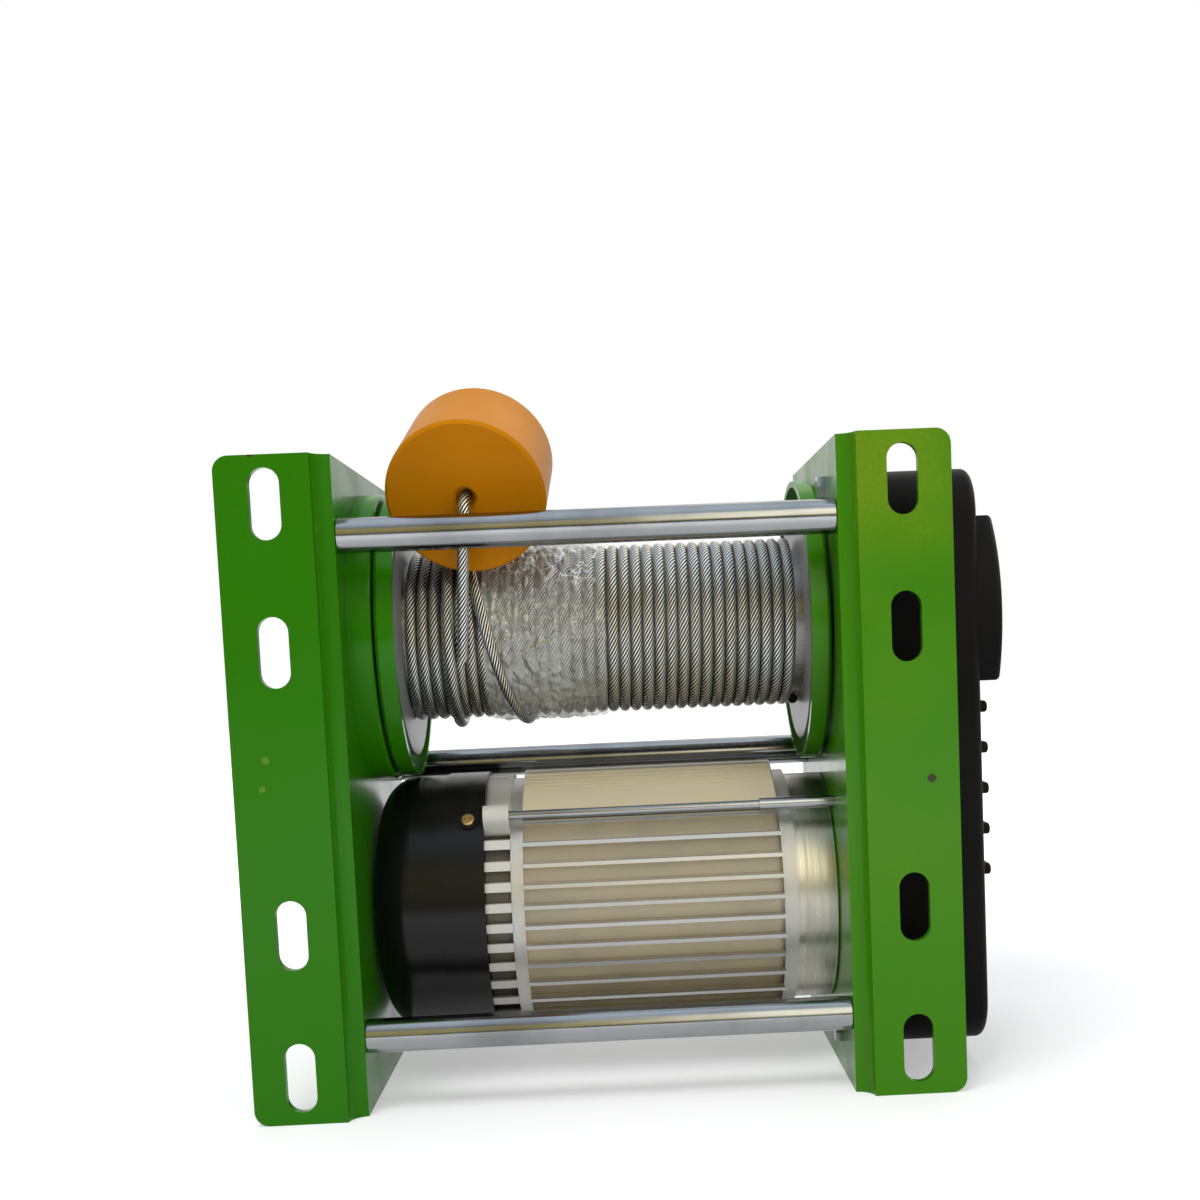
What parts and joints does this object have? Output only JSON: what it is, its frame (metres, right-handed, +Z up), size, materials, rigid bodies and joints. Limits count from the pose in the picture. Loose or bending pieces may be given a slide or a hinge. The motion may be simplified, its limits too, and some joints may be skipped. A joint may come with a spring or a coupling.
{
  "type": "electric hoist",
  "caption": "Compact electric wire rope hoist: rope drum over a finned motor with brake, between two bent flanged side plates, spur gear case, limit weight and eye hook.",
  "frame": {"origin": "bottom centre of the hoist's box, as it stands on the side plates' lower ends, measured without the rope's free end", "axes": "+X along the drum's shaft towards the gear cover, +Y from the mounting flanges' face into the hoist, +Z up"},
  "size_m": [0.3584, 0.171, 0.3489],
  "materials": {
    "plate_green": "gloss",
    "zinc_steel": "satin",
    "turned_steel": "satin",
    "bearing_steel": "polished",
    "grey_cheek": "satin",
    "wire_rope": "oiled",
    "clear_film": "clear",
    "cast_black": "matt",
    "black_screw": "satin",
    "gasket": "matt",
    "motor_silver": "satin",
    "bare_aluminium": "machined",
    "shield_cream": "satin",
    "lamination": "satin",
    "copper": "lacquered",
    "fan_plastic": "matt",
    "brake_lining": "matt",
    "cowl_black": "satin",
    "brass_screw": "satin",
    "weight_orange": "satin",
    "hook_steel": "satin"
  },
  "bodies": {
    "frame": {"left_side_plate": "plate_green", "right_side_plate": "plate_green", "upper_tie_rod": "zinc_steel", "lower_tie_rod": "zinc_steel", "rear_tie_rod": "zinc_steel", "tie_rod_bolts": "zinc_steel", "tie_rod_washers": "zinc_steel", "left_bearing_housing": "plate_green", "drum_bearings": "bearing_steel", "bearing_cap": "zinc_steel", "bearing_cap_screws": "zinc_steel", "gear_case": "cast_black", "case_gasket": "gasket", "gear_cover": "cast_black", "cover_screws": "black_screw", "case_screws": "zinc_steel", "shaft_seal": "gasket", "lay_bearings": "bearing_steel", "motor_housing": "motor_silver", "end_bell": "bare_aluminium", "vent_shield": "shield_cream", "motor_bolts": "zinc_steel", "stator_core": "lamination", "stator_windings": "copper", "rotor_bearings": "bearing_steel", "brake_magnet": "turned_steel", "pressure_plate": "turned_steel", "fan_cowl": "cowl_black", "cowl_screws": "brass_screw", "rope_tail": "wire_rope", "rope_ferrule": "bare_aluminium", "rope_eye": "wire_rope", "rope_thimble": "zinc_steel"},
    "drum": {"drum_shaft": "turned_steel", "drum_barrel": "turned_steel", "left_drum_flange": "plate_green", "right_drum_flange": "plate_green", "left_rope_cheek": "grey_cheek", "right_rope_cheek": "grey_cheek", "rope_winding": "wire_rope", "protective_film": "clear_film", "drum_gear": "turned_steel", "drum_gear_key": "turned_steel", "drum_gear_spacer": "turned_steel", "drum_gear_nut": "turned_steel"},
    "lay_shaft_group": {"lay_shaft": "turned_steel", "lay_gear": "turned_steel", "lay_gear_key": "turned_steel"},
    "rotor": {"rotor_shaft": "turned_steel", "rotor_core": "lamination", "motor_pinion": "turned_steel", "pinion_nut": "turned_steel", "cooling_fan": "fan_plastic", "brake_disc": "brake_lining"},
    "armature": {"brake_armature": "turned_steel"},
    "weight": {"limit_weight": "weight_orange"},
    "hook": {"load_hook": "hook_steel", "latch_pin": "zinc_steel"},
    "latch": {"hook_latch": "zinc_steel"}
  },
  "joints": [
    {"name": "drum_spin", "type": "hinge", "parent": "frame", "child": "drum", "pos_m": [-0.0147, 0.0105, 0.22199], "axis": [1, 0, 0], "continuous": true},
    {"name": "lay_shaft_spin", "type": "hinge", "parent": "frame", "child": "lay_shaft_group", "pos_m": [-0.0147, 0.005, 0.15045], "axis": [1, 0, 0], "continuous": true},
    {"name": "rotor_spin", "type": "hinge", "parent": "frame", "child": "rotor", "pos_m": [-0.0147, 0.0135, 0.085], "axis": [1, 0, 0], "continuous": true},
    {"name": "brake_release", "type": "slide", "parent": "frame", "child": "armature", "axis": [1, 0, 0], "range_m": [0, 0.0005], "stiffness_N_per_m": 4000, "springref_m": -0.001},
    {"name": "weight_lift", "type": "slide", "parent": "frame", "child": "weight", "axis": [0.077, 0.8796, 0.4695], "range_m": [0, 0.006]},
    {"name": "hook_swing", "type": "hinge", "parent": "frame", "child": "hook", "pos_m": [-0.06036, 0.04291, 0.33379], "axis": [0.9903, -0.1392, 0], "range_deg": [0, 100]},
    {"name": "latch_open", "type": "hinge", "parent": "hook", "child": "latch", "pos_m": [-0.06478, 0.05456, 0.29302], "axis": [0.1344, 0.9565, 0.2588], "range_deg": [0, 35], "stiffness_Nm_per_rad": 0.02, "springref_deg": -20.05}
  ],
  "couplings": [
    {"joint": "lay_shaft_spin", "follows": "drum_spin", "ratio": -5.8333},
    {"joint": "rotor_spin", "follows": "drum_spin", "ratio": 30.833}
  ]
}
